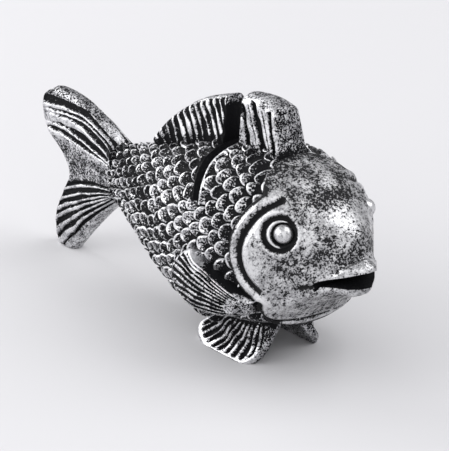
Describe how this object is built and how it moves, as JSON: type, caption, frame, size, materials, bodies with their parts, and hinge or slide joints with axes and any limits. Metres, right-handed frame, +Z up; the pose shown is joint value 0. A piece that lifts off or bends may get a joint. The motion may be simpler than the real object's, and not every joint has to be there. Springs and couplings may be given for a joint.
{
  "type": "fish place card holder",
  "caption": "Cast fish figure that stands on its belly fins and tail and holds a card upright in a slot across its back.",
  "frame": {"origin": "on the table, under the middle of the fish's length and width", "axes": "+X towards the mouth, +Y to the fish's left, +Z up"},
  "size_m": [0.0686, 0.0248, 0.0345],
  "materials": {
    "antique_silver": "silver plated casting, blackened in the hollows and rubbed bright on the raised edges",
    "polished_silver": "silver rubbed bright"
  },
  "bodies": {
    "root": {"body": "antique_silver", "tail_fin": "antique_silver", "rear_dorsal_fin": "antique_silver", "front_dorsal_fin": "antique_silver", "right_pectoral_fin": "antique_silver", "left_pectoral_fin": "antique_silver", "right_pelvic_fin": "antique_silver", "left_pelvic_fin": "antique_silver", "right_eye": "polished_silver", "left_eye": "polished_silver"}
  },
  "joints": []
}
